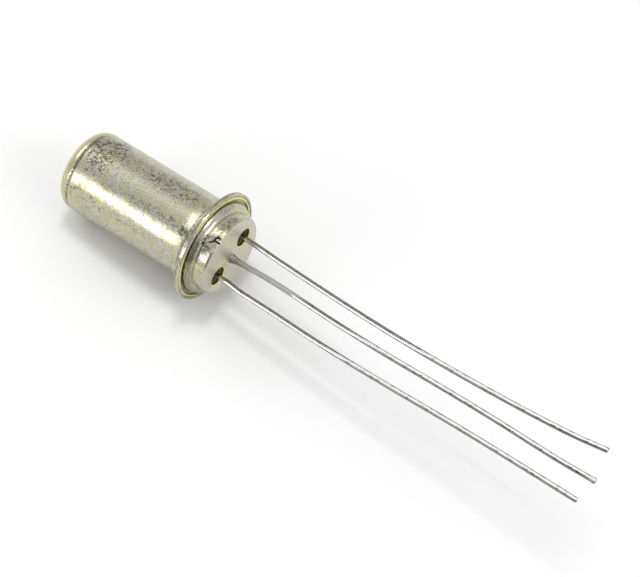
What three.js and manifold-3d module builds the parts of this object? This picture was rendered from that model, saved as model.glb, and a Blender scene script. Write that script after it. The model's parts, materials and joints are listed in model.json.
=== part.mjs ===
// Germanium transistor in a flanged metal can, lying on its side.
//
// The can is drawn from one sheet and flares into a flange. A pressed header is
// welded to that flange. Two wire leads pass through glass beads in the header and
// end as posts inside, and the middle lead is butt welded to the header's face.
// Inside, a bent plate carries the germanium wafer with one alloyed pellet on each
// side, and a fine wire runs from each pellet to its post.
//
// The pieces are built about the can's own axis: +X from the closed end towards the
// leads, with X = 0 at the front of the flange. The finished assembly is then tipped
// until the flange and the can's end both touch the table, and its origin is put at
// the bottom centre of its box. Sizes are in millimetres and +Z is up.

import * as THREE from 'three';
import { mergeVertices } from 'three/addons/utils/BufferGeometryUtils.js';
import Module from 'manifold-3d';

const wasm = await Module();
wasm.setup();

// ---- Driving dimensions -------------------------------------------------------

const FIT_GAP = 0.03;             // clearance between pieces that touch or are joined

// Can
const CAN_DIAMETER = 8.0;
const CASE_LENGTH = 15.62;        // front of the flange to the closed end
const CAN_WALL = 0.28;
const CAN_END_RADIUS = 1.15;      // outer corner of the closed end
const CAN_FLARE_HEIGHT = 0.6;     // sweep from the wall into the flange, outwards
const CAN_FLARE_LENGTH = 2.1;     // and along the can, where it starts gently
const CAN_FLANGE_THICKNESS = 0.18;

// Flange and header
const FLANGE_WIDTH = 1.46;        // from the can's wall to the flange's edge
const FLANGE_EDGE_RADIUS = 0.08;
const HEADER_FLANGE_THICKNESS = 0.3;
const RIM_WIDTH = 0.5;            // raised band round the outside of the flange
const RIM_STEP_TAPER = 0.04;      // slope of the step from the band into the groove
const GROOVE_DEPTH = 0.18;        // annular weld groove inside the band
const GROOVE_FLOOR_WIDTH = 0.2;
const SHOULDER_STEP = 0.17;       // how far the crest of the shoulder stands out from the boss
const SHOULDER_HEIGHT = 0.62;
const BOSS_DIAMETER = 7.9;
const BOSS_HEIGHT = 1.82;
const BOSS_EDGE_RADIUS = 0.32;
const BOSS_ROOT_RADIUS = 0.06;
const HEADER_WALL = 0.5;          // boss wall, measured inwards
const HEADER_FACE_THICKNESS = 0.55;
const HEADER_INNER_RADIUS = 0.25; // inner corners of the boss

// Leads and their seals
const LEAD_DIAMETER = 0.5;
const LEAD_LENGTH = { emitter: 38.5, base: 39, collector: 38.6 };  // face to cut end
const LEAD_PITCH_RADIUS = 2.1;    // outer leads to the axis
const LEAD_ROW_ANGLE = 22;        // degrees, tilt of the row of leads about the axis
const POST_LENGTH = 2.6;          // outer leads past the header's inner face
const SEAL_HOLE_DIAMETER = 1.86;
const SEAL_HOLE_LIP_RADIUS = 0.13;
const BEAD_RECESS = 0.3;          // glass edge below the header's face
const BEAD_OVERHANG = 0.3;        // glass past the header's inner face
const BEAD_MENISCUS = 0.12;       // how far the glass climbs its lead and its hole
const WELD_DIAMETER = 0.78;       // foot of the middle lead
const WELD_HEIGHT = 0.3;

// Crystal and its mounting
const HOLDER_THICKNESS = 0.2;
const HOLDER_WIDTH = 3.6;
const HOLDER_HEIGHT = 4.6;
const HOLDER_FOOT = 1.0;
const HOLDER_BEND_RADIUS = 0.2;
const HOLDER_CORNER_RADIUS = 0.8;
const WINDOW_DIAMETER = 1.9;
const WINDOW_HEIGHT = 2.9;        // centre of the window above the holder's foot
const WAFER_DIAMETER = 2.8;
const WAFER_THICKNESS = 0.15;
const EMITTER_DIAMETER = 1.0;
const EMITTER_HEIGHT = 0.3;
const COLLECTOR_DIAMETER = 1.5;
const COLLECTOR_HEIGHT = 0.45;
const LINK_DIAMETER = 0.2;
const LINK_BOW = [0.25, 0.6];     // where a link bends, as shares of its way to the post

// How each lead has been bent by handling: distance from the header's face, then the
// sideways and upward drift from its own straight line. The last point is the tip.
const LEAD_BENDS = {
  emitter: [[4, -0.13, -0.05], [12, -0.3, -0.22], [19, -0.34, -0.22], [26, -0.22, -0.06],
            [32, 0.04, 0.12], [35.5, 0.32, 0.2], [LEAD_LENGTH.emitter, 0.72, 0.3]],
  base: [[5, 0.07, 0.05], [12, -0.16, 0.14], [17, -0.2, 0.16], [23, -0.04, 0.1],
         [29, 0.07, 0], [35, 0.03, -0.06], [LEAD_LENGTH.base, 0.16, -0.1]],
  collector: [[2, -0.13, -0.02], [6, -0.18, -0.05], [10, -0.27, -0.08], [15, -0.3, -0.1],
              [20, -0.22, -0.06], [25, -0.1, 0], [30, -0.06, 0.08],
              [LEAD_LENGTH.collector, -0.1, 0.2]],
};

// Facets
const CASE_SEGMENTS = 48;         // a multiple of 4, so that a flat faces the table
const BEAD_SEGMENTS = 24;
const LEAD_SIDES = 12;
const LEAD_STEPS = 30;
const LINK_SIDES = 8;
const LINK_STEPS = 10;

// ---- Sizes that follow ----------------------------------------------------------

const canRadius = CAN_DIAMETER / 2;
const flangeRadius = canRadius + FLANGE_WIDTH;
const bossRadius = BOSS_DIAMETER / 2;
const shoulderRadius = bossRadius + SHOULDER_STEP;
const leadRadius = LEAD_DIAMETER / 2;
const holeRadius = SEAL_HOLE_DIAMETER / 2;
const linkRadius = LINK_DIAMETER / 2;
const innerFace = BOSS_HEIGHT - HEADER_FACE_THICKNESS;
const postEnd = innerFace - POST_LENGTH;
const rowAngle = THREE.MathUtils.degToRad(LEAD_ROW_ANGLE);

// The crystal's stack along the row of leads, from the holder's plate at the middle.
const plateFront = HOLDER_THICKNESS / 2;
const waferBack = plateFront + FIT_GAP;
const waferFront = waferBack + WAFER_THICKNESS;
const footX = innerFace - FIT_GAP;
const windowX = footX - WINDOW_HEIGHT;

// ---- Helpers --------------------------------------------------------------------

// Points of an elliptical arc about (x, r), from one angle to another in degrees.
// 0 points along +X and 90 points away from the axis.
function ellipse(x, r, depth, height, from, to, steps = 5) {
  const points = [];
  for (let i = 0; i <= steps; i += 1) {
    const angle = THREE.MathUtils.degToRad(from + (to - from) * i / steps);
    points.push([x + depth * Math.cos(angle), r + height * Math.sin(angle)]);
  }
  return points;
}

function arc(x, r, radius, from, to, steps) {
  return ellipse(x, r, radius, radius, from, to, steps);
}

// The closed body of a geometry, with its shared corners merged.
function toSolid(geometry) {
  const bare = new THREE.BufferGeometry();
  bare.setAttribute('position', geometry.getAttribute('position'));
  bare.setIndex(geometry.index);
  const merged = mergeVertices(bare, 1e-4);
  const triangles = [];
  for (let i = 0; i < merged.index.count; i += 3) {
    const [a, b, c] = [0, 1, 2].map((k) => merged.index.getX(i + k));
    if (a !== b && b !== c && c !== a) triangles.push(a, b, c);
  }
  return new wasm.Manifold(new wasm.Mesh({
    numProp: 3,
    vertProperties: new Float32Array(merged.getAttribute('position').array),
    triVerts: new Uint32Array(triangles),
  }));
}

// A solid of revolution about the X axis from [x, radius] points. A profile that
// starts and ends on the axis closes there, and any other closes on itself.
function turned(profile, segments) {
  const onAxis = profile[0][1] === 0 && profile[profile.length - 1][1] === 0;
  const outline = onAxis ? profile : [...profile, profile[0]];
  const area = outline.reduce((sum, [x, r], i) => {
    const [nextX, nextR] = outline[(i + 1) % outline.length];
    return sum + x * nextR - nextX * r;
  }, 0);
  const points = outline.map(([x, r]) => new THREE.Vector2(r, x));
  if (area > 0) points.reverse();
  const lathe = new THREE.LatheGeometry(points, segments, Math.PI / segments);
  return toSolid(lathe.rotateZ(-Math.PI / 2));
}

// A round wire along a curve.
function wire(curve, radius, sides, steps) {
  const section = new THREE.Shape(
    Array.from({ length: sides }, (_, i) => {
      const angle = 2 * Math.PI * i / sides;
      return new THREE.Vector2(radius * Math.cos(angle), radius * Math.sin(angle));
    }),
  );
  return toSolid(new THREE.ExtrudeGeometry(section, { steps, extrudePath: curve }));
}

// A flat outline in the XY plane, given a thickness that is centred on that plane.
function plate(shape, thickness) {
  const settings = { depth: thickness, bevelEnabled: false, curveSegments: 6 };
  const geometry = new THREE.ExtrudeGeometry(shape, settings);
  return toSolid(geometry.translate(0, 0, -thickness / 2));
}

function piece(name, solid, material) {
  const mesh = solid.getMesh();
  const geometry = new THREE.BufferGeometry();
  geometry.setAttribute('position', new THREE.BufferAttribute(mesh.vertProperties, 3));
  geometry.setIndex(new THREE.BufferAttribute(mesh.triVerts, 1));
  geometry.computeVertexNormals();
  const named = new THREE.Mesh(geometry, material);
  named.name = name;
  return named;
}

// A point on the plane that holds the row of leads.
function rowPoint(x, along) {
  return new THREE.Vector3(x, along * Math.cos(rowAngle), along * Math.sin(rowAngle));
}

// ---- Materials --------------------------------------------------------------------

function metal(color, roughness) {
  return new THREE.MeshStandardMaterial({ color, roughness, metalness: 1 });
}

const canPlating = metal(0xb9b6a3, 0.4);
const headerPlating = metal(0xb3b09f, 0.45);
const tinnedWire = metal(0xc4c4c0, 0.25);
const weldedWire = metal(0x9b9a94, 0.45);
const sealGlass = new THREE.MeshStandardMaterial({ color: 0x15131c, roughness: 0.2 });
const nickelPlate = metal(0xaaa79c, 0.4);
const germanium = metal(0x6f7378, 0.25);
const alloy = metal(0x8d9096, 0.5);
const linkWire = metal(0xa9a7a0, 0.35);

// ---- Case --------------------------------------------------------------------------

// The can from the centre of its closed end, out along the wall to the flange, and
// back along the inside.
function canProfile() {
  const end = -CASE_LENGTH;
  const flangeFront = -HEADER_FLANGE_THICKNESS - FIT_GAP;
  const flangeBack = flangeFront - CAN_FLANGE_THICKNESS;
  const cornerX = end + CAN_END_RADIUS;
  const cornerR = canRadius - CAN_END_RADIUS;
  const flareX = flangeBack - CAN_FLARE_LENGTH;
  const flareR = canRadius + CAN_FLARE_HEIGHT;
  const edgeR = flangeRadius - FLANGE_EDGE_RADIUS;
  return [
    [end, 0],
    ...arc(cornerX, cornerR, CAN_END_RADIUS, 180, 90, 7),
    ...ellipse(flareX, flareR, CAN_FLARE_LENGTH, CAN_FLARE_HEIGHT, -90, 0, 10),
    ...arc(flangeBack + FLANGE_EDGE_RADIUS, edgeR, FLANGE_EDGE_RADIUS, 180, 90, 3),
    [flangeFront, flangeRadius],
    ...ellipse(flareX, flareR, flangeFront - flareX, CAN_FLARE_HEIGHT + CAN_WALL, 0, -90, 8),
    ...arc(cornerX, cornerR, CAN_END_RADIUS - CAN_WALL, 90, 180, 6),
    [end + CAN_WALL, 0],
  ];
}

// The header from the middle of its inner face outwards, round the rim, and forward
// over the groove, the shoulder and the boss to the middle of the front face.
function headerProfile() {
  const back = -HEADER_FLANGE_THICKNESS;
  const inner = HEADER_INNER_RADIUS;
  const cavityRadius = bossRadius - HEADER_WALL;
  const rimInner = flangeRadius - RIM_WIDTH;
  const grooveOuter = rimInner - RIM_STEP_TAPER;
  const grooveInner = grooveOuter - GROOVE_FLOOR_WIDTH;
  const edgeR = flangeRadius - FLANGE_EDGE_RADIUS;
  return [
    [innerFace, 0],
    ...arc(innerFace - inner, cavityRadius - inner, inner, 0, 90, 4),
    ...arc(back + inner, cavityRadius + inner, inner, 270, 180, 4),
    [back, flangeRadius],
    ...arc(-FLANGE_EDGE_RADIUS, edgeR, FLANGE_EDGE_RADIUS, 90, 0, 3),
    [0, rimInner],
    [-GROOVE_DEPTH, grooveOuter],
    ...ellipse(-GROOVE_DEPTH, shoulderRadius, SHOULDER_HEIGHT + GROOVE_DEPTH,
               grooveInner - shoulderRadius, 90, 0, 7),
    ...arc(SHOULDER_HEIGHT + BOSS_ROOT_RADIUS, bossRadius + BOSS_ROOT_RADIUS,
           BOSS_ROOT_RADIUS, 180, 270, 2),
    ...arc(BOSS_HEIGHT - BOSS_EDGE_RADIUS, bossRadius - BOSS_EDGE_RADIUS,
           BOSS_EDGE_RADIUS, 90, 0, 5),
    [BOSS_HEIGHT, 0],
  ];
}

// A cutter for one seal hole, which opens into a rounded lip at the front face.
function sealHoleCutter() {
  const clear = 1;
  const lip = SEAL_HOLE_LIP_RADIUS;
  return turned([
    [innerFace - clear, 0],
    [innerFace - clear, holeRadius],
    ...arc(BOSS_HEIGHT - lip, holeRadius + lip, lip, 270, 360, 4),
    [BOSS_HEIGHT + clear, holeRadius + lip],
    [BOSS_HEIGHT + clear, 0],
  ], BEAD_SEGMENTS);
}

function headerSolid() {
  let header = turned(headerProfile(), CASE_SEGMENTS);
  for (const side of [1, -1]) {
    const hole = rowPoint(0, side * LEAD_PITCH_RADIUS);
    header = header.subtract(sealHoleCutter().translate(hole.toArray()));
  }
  return header;
}

// ---- Seals and leads -----------------------------------------------------------------

// The glass ring round an outer lead, higher where it wets the hole and the lead.
function beadSolid() {
  const outer = holeRadius - FIT_GAP;
  const inner = leadRadius + FIT_GAP;
  const middle = (outer + inner) / 2;
  const reach = (outer - inner) / 2;
  const front = BOSS_HEIGHT - BEAD_RECESS;
  const back = innerFace - BEAD_OVERHANG;
  const across = [-1, -0.7, -0.35, 0, 0.35, 0.7, 1];
  const hollow = (t) => BEAD_MENISCUS * (1 - t * t);
  return turned([
    ...across.map((t) => [front - hollow(t), middle + t * reach]),
    ...across.map((t) => [back + hollow(t), middle - t * reach]),
  ], BEAD_SEGMENTS);
}

// A lead's centre line: straight from its start to just past the header's face, and
// then through its bends to the tip.
function leadCurve(startX, along, bends) {
  const pastFace = BOSS_HEIGHT + 2 * LEAD_DIAMETER;
  const straight = [startX, (startX + pastFace) / 2, pastFace].map((x) => rowPoint(x, along));
  const bent = bends.map(([distance, sideways, up]) => (
    rowPoint(BOSS_HEIGHT + distance, along).add(new THREE.Vector3(0, sideways, up))
  ));
  return new THREE.CatmullRomCurve3([...straight, ...bent]);
}

function outerLeadSolid(side, bends) {
  const curve = leadCurve(postEnd, side * LEAD_PITCH_RADIUS, bends);
  return wire(curve, leadRadius, LEAD_SIDES, LEAD_STEPS);
}

// The middle lead spreads into a weld foot that stands on the header's face.
function baseLeadSolid() {
  const start = BOSS_HEIGHT + FIT_GAP;
  const weldRadius = WELD_DIAMETER / 2;
  const foot = turned([
    [start, 0],
    ...ellipse(start + WELD_HEIGHT, weldRadius, WELD_HEIGHT, weldRadius - leadRadius, 180, 270, 4),
    [start + WELD_HEIGHT, 0],
  ], BEAD_SEGMENTS);
  return wire(leadCurve(start, 0, LEAD_BENDS.base), leadRadius, LEAD_SIDES, LEAD_STEPS).add(foot);
}

// ---- Crystal and its mounting ----------------------------------------------------------
// Built with the row of leads along Y and the emitter's side at +Y.

// A strip bent into an upright and a foot, with rounded top corners and a window.
function holderSolid() {
  const top = footX - HOLDER_HEIGHT;
  const plateBack = plateFront - HOLDER_THICKNESS;
  const footEnd = plateFront - HOLDER_FOOT;
  const bend = HOLDER_BEND_RADIUS;
  const outerBend = bend + HOLDER_THICKNESS;
  const side = new THREE.Shape();
  side.moveTo(top, plateFront);
  side.lineTo(top, plateBack);
  side.absarc(footX - outerBend, plateBack - bend, bend, Math.PI / 2, 0, true);
  side.lineTo(footX - HOLDER_THICKNESS, footEnd);
  side.lineTo(footX, footEnd);
  side.absarc(footX - outerBend, plateBack - bend, outerBend, 0, Math.PI / 2, false);
  side.closePath();

  const corner = HOLDER_CORNER_RADIUS;
  const half = HOLDER_WIDTH / 2;
  const front = new THREE.Shape();
  front.moveTo(footX, -half);
  front.lineTo(footX, half);
  front.absarc(top + corner, half - corner, corner, Math.PI / 2, Math.PI, false);
  front.absarc(top + corner, corner - half, corner, Math.PI, 1.5 * Math.PI, false);
  front.closePath();

  const outline = plate(front, 4 * HOLDER_FOOT).rotate([90, 0, 0]);
  const windowCutter = turned([
    [-HOLDER_THICKNESS, 0],
    [-HOLDER_THICKNESS, WINDOW_DIAMETER / 2],
    [HOLDER_THICKNESS, WINDOW_DIAMETER / 2],
    [HOLDER_THICKNESS, 0],
  ], BEAD_SEGMENTS).rotate([0, 0, 90]).translate([windowX, 0, 0]);
  return plate(side, HOLDER_WIDTH).intersect(outline).subtract(windowCutter);
}

function waferSolid() {
  const radius = WAFER_DIAMETER / 2;
  return turned([[0, 0], [0, radius], [WAFER_THICKNESS, radius], [WAFER_THICKNESS, 0]], BEAD_SEGMENTS);
}

function pelletSolid(diameter, height) {
  return turned([[0, 0], ...ellipse(0, 0, height, diameter / 2, 90, 6, 5), [height, 0]], BEAD_SEGMENTS);
}

// A fine wire from a pellet's crown to the end of its post, bowed away from the header.
function linkSolid(crown, side) {
  const overPost = postEnd - FIT_GAP - linkRadius;
  const start = crown + FIT_GAP;
  const run = LEAD_PITCH_RADIUS - start;
  const points = [
    [windowX, start],
    [windowX - linkRadius, start + LINK_BOW[0] * run],
    [overPost - linkRadius, start + LINK_BOW[1] * run],
    [overPost, LEAD_PITCH_RADIUS],
  ].map(([x, along]) => new THREE.Vector3(x, side * along, 0));
  return wire(new THREE.CatmullRomCurve3(points), linkRadius, LINK_SIDES, LINK_STEPS);
}

function crystalGroup() {
  const crystal = new THREE.Group();
  const emitterBase = waferFront + FIT_GAP;
  const collectorBase = waferBack - FIT_GAP;

  const holder = piece('crystal_holder', holderSolid(), nickelPlate);
  const wafer = piece('germanium_wafer', waferSolid(), germanium);
  wafer.position.set(windowX, waferBack, 0);
  wafer.rotation.z = Math.PI / 2;

  const emitter = piece('emitter_pellet', pelletSolid(EMITTER_DIAMETER, EMITTER_HEIGHT), alloy);
  emitter.position.set(windowX, emitterBase, 0);
  emitter.rotation.z = Math.PI / 2;
  const collector = piece('collector_pellet', pelletSolid(COLLECTOR_DIAMETER, COLLECTOR_HEIGHT), alloy);
  collector.position.set(windowX, collectorBase, 0);
  collector.rotation.z = -Math.PI / 2;

  const emitterLink = piece('emitter_link', linkSolid(emitterBase + EMITTER_HEIGHT, 1), linkWire);
  const collectorLink = piece(
    'collector_link', linkSolid(COLLECTOR_HEIGHT - collectorBase, -1), linkWire);
  crystal.add(holder, wafer, emitter, collector, emitterLink, collectorLink);
  crystal.rotation.x = rowAngle;
  return crystal;
}

// ---- Assembly ----------------------------------------------------------------------

// The tilt at which the flange and the can's end both touch the table. Of all lines
// from the flange's profile to the end's, it is the one that has every point above it.
function restingTilt() {
  const flat = Math.cos(Math.PI / CASE_SEGMENTS);
  const outline = [...canProfile(), ...headerProfile()];
  const heel = outline.filter(([x]) => x < -CASE_LENGTH / 2);
  const flange = outline.filter(([x]) => x > -CASE_LENGTH / 2);
  const slope = ([x, r], [endX, endR]) => Math.atan2((r - endR) * flat, x - endX);
  return Math.max(...flange.map((f) => Math.min(...heel.map((h) => slope(f, h)))));
}

function seal(name, side) {
  const bead = piece(name, beadSolid(), sealGlass);
  bead.position.copy(rowPoint(0, side * LEAD_PITCH_RADIUS));
  return bead;
}

const assembly = new THREE.Group();
assembly.add(
  piece('cap', turned(canProfile(), CASE_SEGMENTS), canPlating),
  piece('header', headerSolid(), headerPlating),
  seal('bead_emitter', 1),
  seal('bead_collector', -1),
  piece('lead_emitter', outerLeadSolid(1, LEAD_BENDS.emitter), tinnedWire),
  piece('lead_base', baseLeadSolid(), weldedWire),
  piece('lead_collector', outerLeadSolid(-1, LEAD_BENDS.collector), tinnedWire),
  crystalGroup(),
);
assembly.rotation.y = -restingTilt();
assembly.updateMatrixWorld(true);

const box = new THREE.Box3().setFromObject(assembly, true);
const middle = box.getCenter(new THREE.Vector3());
assembly.position.set(-middle.x, -middle.y, -box.min.z);

const transistor = new THREE.Group();
transistor.add(assembly);
transistor.updateMatrixWorld(true);

export default transistor;
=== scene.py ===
# %% [markdown]
# # A germanium transistor
# This small part from a radio is a plated metal can, about as long as a fingernail, with a
# flanged base and three long wire leads. It lies on its side on a white table.
# A fixed frame of plain solids is loaded first. It says where every piece is and how large it
# is. The pieces that show are modelled again here with fine round surfaces, and every piece
# gets its finish. Blender's lengths are metres, and MM turns millimetres into them.

# %% Load the frame
import json
import math

import bpy
from mathutils import Matrix, Quaternion, Vector


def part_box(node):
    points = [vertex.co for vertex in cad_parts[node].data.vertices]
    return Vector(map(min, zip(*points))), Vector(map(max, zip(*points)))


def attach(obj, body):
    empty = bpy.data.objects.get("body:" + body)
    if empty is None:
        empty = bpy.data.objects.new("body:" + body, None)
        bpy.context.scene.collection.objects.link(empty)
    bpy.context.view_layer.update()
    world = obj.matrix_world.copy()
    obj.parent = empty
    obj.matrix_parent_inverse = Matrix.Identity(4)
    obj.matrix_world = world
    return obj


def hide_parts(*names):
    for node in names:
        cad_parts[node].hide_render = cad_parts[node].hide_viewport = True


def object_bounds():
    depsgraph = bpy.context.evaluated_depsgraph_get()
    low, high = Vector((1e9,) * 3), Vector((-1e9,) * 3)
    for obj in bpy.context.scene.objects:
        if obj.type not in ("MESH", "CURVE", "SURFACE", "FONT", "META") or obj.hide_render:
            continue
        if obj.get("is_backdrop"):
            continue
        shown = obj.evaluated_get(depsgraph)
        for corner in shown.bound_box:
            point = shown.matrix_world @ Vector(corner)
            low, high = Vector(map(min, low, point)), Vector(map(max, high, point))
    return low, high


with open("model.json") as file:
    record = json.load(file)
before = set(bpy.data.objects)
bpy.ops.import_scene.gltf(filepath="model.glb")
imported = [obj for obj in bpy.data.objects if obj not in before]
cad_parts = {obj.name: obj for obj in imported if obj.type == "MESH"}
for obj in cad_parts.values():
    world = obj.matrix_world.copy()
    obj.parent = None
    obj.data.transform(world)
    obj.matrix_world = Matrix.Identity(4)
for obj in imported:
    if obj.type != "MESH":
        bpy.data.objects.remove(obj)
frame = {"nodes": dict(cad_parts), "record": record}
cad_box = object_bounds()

MM = 0.001
nodes = frame["nodes"]
mounts = {mount["name"]: mount for mount in frame["record"]["mounts"]}
print("pieces in the frame:", ", ".join(sorted(nodes)))

# %% [markdown]
# ## The can's own axis
# The transistor rests on the rim of its flange and on the far corner of the can, so its axis
# climbs a few degrees from the table. The flat end of the can gives a point and a direction,
# and from those a small helper turns "so far along the axis, so far out from it, at this turn
# round it" into a place in space. Distances along the axis count from the front of the
# flange, towards the leads.

# %% Axis helper
CASE_LENGTH = 15.62

axis = -Vector(mounts["can_end"]["axis"])
side = Vector((0, 1, 0))
top = axis.cross(side)
flange_front = Vector(mounts["can_end"]["pos_m"]) + axis * CASE_LENGTH * MM


def on_case(along, out, turn):
    """A place on or around the case, from millimetres, and degrees from the top towards +Y."""
    angle = math.radians(turn)
    away = top * math.cos(angle) + side * math.sin(angle)
    return flange_front + (axis * along + away * out) * MM


boss_height = (Vector(mounts["seating_face"]["pos_m"]) - flange_front).dot(axis) / MM
print("axis climbs", round(math.degrees(math.asin(axis.z)), 2), "degrees")
print("header stands", round(boss_height, 2), "mm in front of its flange")

# %% [markdown]
# ## The camera
# The camera looks down steeply from the side that shows the leads, as someone would look at a
# part on a bench. A long lens from twenty centimetres keeps the can from looking stretched.
# An azimuth and an elevation say where it stands, and a small roll is added about the lens.

# %% Camera
VIEW_SIDE = (-59.17, 60.06)
VIEW_ROLL = 7.0
VIEW_DISTANCE = 202.63
VIEW_LENS = 122.75
VIEW_AIM = Vector((-4.03, 5.25, 0)) * MM


def direction(azimuth, elevation):
    """A unit vector from an azimuth, counted from +X towards +Y, and an elevation."""
    turn, height = math.radians(azimuth), math.radians(elevation)
    flat = math.cos(height)
    return Vector((math.cos(turn) * flat, math.sin(turn) * flat, math.sin(height)))


to_camera = direction(*VIEW_SIDE)
bpy.ops.object.camera_add(location=VIEW_AIM + to_camera * VIEW_DISTANCE * MM)
camera = bpy.context.object
camera.rotation_mode = "QUATERNION"
camera.rotation_quaternion = (
    (-to_camera).to_track_quat("-Z", "Y") @ Quaternion((0, 0, 1), math.radians(VIEW_ROLL)))
camera.data.lens = VIEW_LENS
camera.data.clip_start = 10 * MM
bpy.context.scene.camera = camera
bpy.context.scene.view_settings.view_transform = "Standard"
print("camera at", [round(value / MM, 1) for value in camera.location], "mm")

# %% [markdown]
# ## Floor
# A white sheet under the part. It is large, so that the metal finds white to mirror in every
# low direction, and it is matt, so it takes soft shadows.

# %% Floor
FLOOR_SIZE = 3000
FLOOR_COLOR = (0.88, 0.88, 0.88, 1)
FLOOR_ROUGHNESS = 0.9
FLOOR_GLOSS = 0.1

bpy.ops.object.select_all(action="DESELECT")
bpy.ops.mesh.primitive_plane_add(size=FLOOR_SIZE * MM, location=(0, 0, 0))
floor = bpy.context.object
floor.name = "floor"
floor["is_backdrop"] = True
floor_white = bpy.data.materials.new("floor_white")
floor_white.use_nodes = True
paper = floor_white.node_tree.nodes["Principled BSDF"].inputs
paper["Base Color"].default_value = FLOOR_COLOR
paper["Roughness"].default_value = FLOOR_ROUGHNESS
paper["Specular IOR Level"].default_value = FLOOR_GLOSS
floor.data.materials.append(floor_white)
print("the floor is", FLOOR_SIZE * MM, "metres wide")

# %% [markdown]
# ## Light
# Metal shows little of its own: what is seen on it is the room. This room is an even pale grey,
# like the walls of a light tent, and darker only where a person would lean over the bench.
# Polished wire mirrors it almost like a drawing, while the dull can blurs it.
# The room, and later every finish, is made of nodes. Wiring them in code is long, so a few
# small helpers come first.

# %% Node helpers
def feed(socket, value):
    """Links a socket to another, or writes a value on it. Colours become opaque."""
    if isinstance(value, bpy.types.NodeSocket):
        socket.id_data.links.new(value, socket)
    else:
        socket.default_value = (*value, 1) if socket.type == "RGBA" else value


def put(kind, inputs, tree=None, **settings):
    """A new node, set and fed. It goes into the given tree, or into that of its inputs."""
    if tree is None:
        tree = next(value.id_data for value in inputs.values()
                    if isinstance(value, bpy.types.NodeSocket))
    node = tree.nodes.new("ShaderNode" + kind)
    for setting, value in settings.items():
        setattr(node, setting, value)
    for socket, value in inputs.items():
        feed(node.inputs[socket], value)
    return node


def reckon(operation, *values):
    """The result of a Math node."""
    return put("Math", dict(enumerate(values)), operation=operation).outputs[0]


def vectors(operation, *values, output=0):
    """The result of a Vector Math node. Its second output holds a plain number."""
    return put("VectorMath", dict(enumerate(values)), operation=operation).outputs[output]


def ramp(value, low, high, start=0.0, end=1.0):
    """A value that goes smoothly from start to end while another goes from low to high."""
    limits = {"Value": value, "From Min": low, "From Max": high, "To Min": start, "To Max": end}
    return put("MapRange", limits, interpolation_type="SMOOTHSTEP").outputs["Result"]


# %% Room
ROOM_LEVEL = 0.74
PERSON_SIDE = (-70, 25)
PERSON_EDGE = (0.6, 0.95)
PERSON_LEVEL = ROOM_LEVEL * 0.46

world = bpy.data.worlds.new("room")
bpy.context.scene.world = world
world.use_nodes = True
looking = put("TexCoord", {}, world.node_tree).outputs["Generated"]
facing = vectors("DOT_PRODUCT", looking, direction(*PERSON_SIDE), output=1)
background = world.node_tree.nodes["Background"].inputs
feed(background["Color"], (1, 1, 1))
feed(background["Strength"], ramp(facing, *PERSON_EDGE, ROOM_LEVEL, PERSON_LEVEL))
print("room level", ROOM_LEVEL, "and", round(PERSON_LEVEL, 2), "on the person's side")

# %% [markdown]
# A soft lamp hangs almost overhead. It draws the faint streaks of shadow under the leads and the
# glint on the can's flare, and a small far one adds a thin bright line on the bent wires. Three
# wide windows stand around: one draws the bright band down the can, one lights the header from
# the leads' side, and one catches the can's far end.

# %% Lamp and windows
def soft_lamp(name, azimuth, elevation, distance, width, tall, brightness, spin=0):
    """A rectangular lamp that faces the part, in millimetres, with brightness beside white's 1."""
    away = direction(azimuth, elevation)
    bpy.ops.object.light_add(type="AREA", location=away * distance * MM)
    lamp = bpy.context.object
    lamp.name = name
    lamp.rotation_mode = "QUATERNION"
    facing = (-away).to_track_quat("-Z", "Y")
    lamp.rotation_quaternion = Quaternion(away, math.radians(spin)) @ facing
    lamp.data.shape = "RECTANGLE"
    lamp.data.size = width * MM
    lamp.data.size_y = tall * MM
    lamp.data.energy = brightness * math.pi * lamp.data.size * lamp.data.size_y


soft_lamp("lamp_above", 129, 78.3, distance=906, width=160, tall=200, brightness=19, spin=-39)
soft_lamp("lamp_far", 157, 69.5, distance=983, width=120, tall=120, brightness=3)
soft_lamp("window_left", -120, 19.5, distance=700, width=323, tall=255, brightness=3.5)
soft_lamp("window_leads", 8, 36, distance=700, width=400, tall=300, brightness=2.5)
soft_lamp("window_end", 173, 37, distance=700, width=400, tall=260, brightness=2.5)

# %% [markdown]
# ## Turning round pieces
# The can, the header and the glass seals are all round about an axis. On a lathe such a piece
# comes from one outline, and Blender's spin works the same way: a single vertex is extruded
# along half of the section, and the line is then spun a full turn. The frame's solids are
# many-sided, and their flats lie a little inside the true circle. The fine round pieces use
# the distance of those flats, so they touch the table in the same place and fit the same box.

# %% Spin helper
CASE_STEPS = 192
MERGE_DISTANCE = 0.0005
FLANGE_RADIUS = 5.46
HAIR = 0.0001  # keeps rounding from pushing a fine piece out of the frame's box

flat_radius = (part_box("cap")[1].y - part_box("cap")[0].y) / 2 / MM - HAIR
flat_share = flat_radius / FLANGE_RADIUS


def arc(along, out, radius, start, end, steps=8, stretch=1.0):
    """Points of an arc about (along, out). 0 degrees is along the axis and 90 is away from it."""
    turns = [math.radians(start + (end - start) * step / steps) for step in range(steps + 1)]
    return [(along + radius * stretch * math.cos(turn), out + radius * math.sin(turn))
            for turn in turns]


def finish_mesh(piece, name, smooth_angle=35):
    """Back to object mode, place into the mesh, smooth shading, and a name."""
    bpy.ops.object.mode_set(mode="OBJECT")
    bpy.ops.object.transform_apply(location=True, rotation=True, scale=True)
    bpy.ops.object.shade_smooth_by_angle(angle=math.radians(smooth_angle))
    piece.name = name
    print(name, "has", len(piece.data.polygons), "faces")
    return piece


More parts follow.
